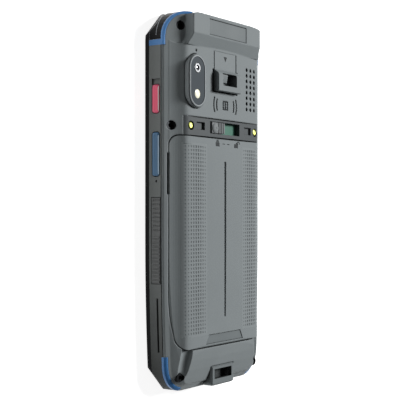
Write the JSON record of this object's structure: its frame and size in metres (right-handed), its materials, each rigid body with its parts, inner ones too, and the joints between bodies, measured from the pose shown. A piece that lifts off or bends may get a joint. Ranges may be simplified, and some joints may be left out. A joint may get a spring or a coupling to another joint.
{
  "type": "portable barcode data terminal",
  "caption": "Rugged hand-held scanner terminal: touch screen front, ribbed side grips, press keys, camera island, strap fittings, and a latched battery pack that swings out of the back.",
  "frame": {"origin": "middle of the front face, on the plane the screen side rests on", "axes": "+X to the right seen from the back, +Y towards the scanner end, +Z out of the back"},
  "size_m": [0.0778, 0.1666, 0.0192],
  "materials": {
    "grey_shell": "fine satin texture",
    "grey_trim": "fine satin texture",
    "band": "satin",
    "dark_band": "satin",
    "black_frame": "satin",
    "black_gloss": "gloss",
    "glass": "dark tinted",
    "lens": "clear",
    "flash": "pale yellow diffuser",
    "scan_red": "dark red filter",
    "blue_trim": "satin blue",
    "blue_key": "satin blue",
    "red_key": "satin red",
    "rubber": "matt",
    "grip": "matt moulded ribs and dots",
    "indicator": "green film",
    "gold": "gold plated",
    "screw_steel": "black oxide",
    "steel": "bright",
    "board": "green solder mask"
  },
  "bodies": {
    "terminal": {"front_frame": "black_frame", "touch_glass": "glass", "display_panel": "black_gloss", "earpiece_grille": "steel", "front_camera": "black_frame", "mid_frame": "band", "housing_gasket": "rubber", "rear_housing": "grey_shell", "housing_screws": "screw_steel", "bumper_left": "black_gloss", "bumper_right": "black_gloss", "accent_upper_left": "blue_trim", "accent_upper_right": "blue_trim", "accent_lower_left": "blue_trim", "accent_lower_right": "blue_trim", "side_grip_left": "grip", "side_grip_right": "grip", "key_board_left": "board", "key_board_right": "board", "camera_bezel": "grey_shell", "camera_window": "glass", "camera_lens": "lens", "flash_lens": "flash", "camera_module": "black_frame", "strap_anchor": "grey_shell", "strap_loop": "grey_trim", "label_plate": "grey_trim", "latch_band": "dark_band", "lock_indicator": "indicator", "grip_contacts": "gold", "battery_connector": "black_frame", "main_board": "board", "shield_can": "steel", "scan_engine": "black_frame", "scan_window": "scan_red", "speaker_driver": "black_frame", "speaker_mesh": "steel", "rear_microphone": "steel", "sub_board": "board", "usb_port": "steel", "vibration_motor": "steel"},
    "pack": {"pack_cover": "grey_shell", "pack_tray": "black_frame", "battery_cell": "steel", "pack_terminals": "gold", "pack_seal": "rubber", "pack_plate": "grey_trim"},
    "lock": {"lock_slider": "dark_band"},
    "red_button": {"function_key": "red_key"},
    "scan_button_left": {"scan_key_left": "blue_key"},
    "scan_button_right": {"scan_key_right": "blue_key"},
    "volume_button": {"volume_rocker": "black_frame"},
    "power_button": {"power_key": "black_frame"}
  },
  "joints": [
    {"name": "pack_swing", "type": "hinge", "parent": "terminal", "child": "pack", "pos_m": [0, -0.06385, 0.0153], "axis": [1, 0, 0], "range_deg": [0, 35]},
    {"name": "lock_slide", "type": "slide", "parent": "terminal", "child": "lock", "axis": [1, 0, 0], "range_m": [0, 0.01]},
    {"name": "function_key_press", "type": "slide", "parent": "terminal", "child": "red_button", "axis": [1, 0, 0], "range_m": [0, 0.0004], "stiffness_N_per_m": 1500, "springref_m": -0.0006},
    {"name": "scan_key_left_press", "type": "slide", "parent": "terminal", "child": "scan_button_left", "axis": [1, 0, 0], "range_m": [0, 0.0004], "stiffness_N_per_m": 1500, "springref_m": -0.0006},
    {"name": "scan_key_right_press", "type": "slide", "parent": "terminal", "child": "scan_button_right", "axis": [-1, 0, 0], "range_m": [0, 0.0004], "stiffness_N_per_m": 1500, "springref_m": -0.0006},
    {"name": "power_key_press", "type": "slide", "parent": "terminal", "child": "power_button", "axis": [-1, 0, 0], "range_m": [0, 0.0004], "stiffness_N_per_m": 1500, "springref_m": -0.0006},
    {"name": "volume_rock", "type": "hinge", "parent": "terminal", "child": "volume_button", "pos_m": [0.0372, 0.04795, 0.0062], "axis": [0, 0, 1], "range_deg": [-2.5, 2.5], "stiffness_Nm_per_rad": 0.1}
  ]
}
